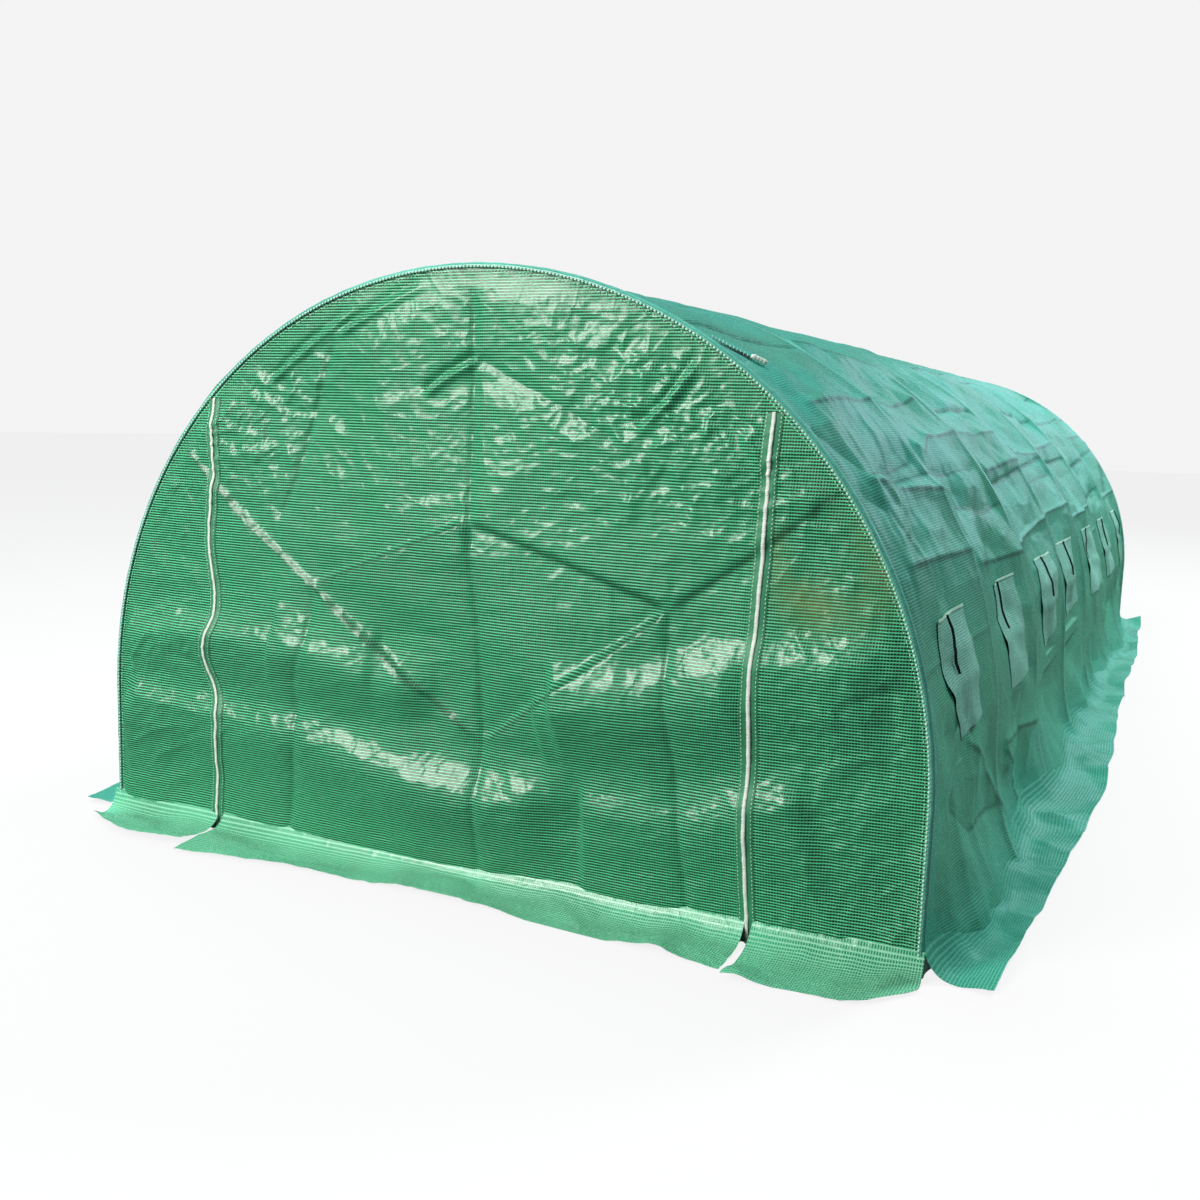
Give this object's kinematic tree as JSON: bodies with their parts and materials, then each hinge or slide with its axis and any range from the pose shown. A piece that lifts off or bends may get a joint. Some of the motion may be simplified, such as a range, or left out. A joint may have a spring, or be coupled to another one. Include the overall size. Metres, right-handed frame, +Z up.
{
  "type": "polytunnel greenhouse",
  "caption": "Round-topped polytunnel greenhouse: a tube hoop frame under a green film cover, with a zipped door curtain, flapped side windows and ground skirts.",
  "frame": {"origin": "centre of the tunnel's plan, on the ground", "axes": "+Z up, +Y along the tunnel away from the door end, +X to the right seen from the door end"},
  "size_m": [3.52, 8.22, 1.9718],
  "materials": {
    "galvanised_tube": "dull zinc coat",
    "cover_film": "glossy thread-reinforced film",
    "skirt_film": "glossy thread-reinforced film, paler",
    "hem_film": "doubled film over the end hoop",
    "flap_film": "glossy film, pale and bluish",
    "zip": "white moulded teeth on woven tape",
    "screen": "dark woven insect mesh",
    "tie": "dark woven tape"
  },
  "bodies": {
    "root": {"hoop_1": "galvanised_tube", "hoop_2": "galvanised_tube", "hoop_3": "galvanised_tube", "hoop_4": "galvanised_tube", "hoop_5": "galvanised_tube", "hoop_6": "galvanised_tube", "hoop_7": "galvanised_tube", "hoop_8": "galvanised_tube", "ridge_purlin": "galvanised_tube", "left_purlin": "galvanised_tube", "right_purlin": "galvanised_tube", "left_base_rail": "galvanised_tube", "right_base_rail": "galvanised_tube", "left_wall": "cover_film", "left_window_band": "cover_film", "left_shoulder": "cover_film", "left_roof": "cover_film", "right_wall": "cover_film", "right_window_band": "cover_film", "right_shoulder": "cover_film", "right_roof": "cover_film", "front_left_panel": "cover_film", "door_curtain": "cover_film", "front_right_panel": "cover_film", "left_zip": "zip", "right_zip": "zip", "back_wall": "cover_film", "front_hem": "hem_film", "back_hem": "hem_film", "front_left_skirt": "skirt_film", "door_skirt": "skirt_film", "front_right_skirt": "skirt_film", "left_skirt": "skirt_film", "right_skirt": "skirt_film", "back_skirt": "skirt_film", "left_window_screens": "screen", "right_window_screens": "screen", "left_window_flaps": "flap_film", "right_window_flaps": "flap_film", "left_window_ties": "tie", "right_window_ties": "tie"}
  },
  "joints": []
}
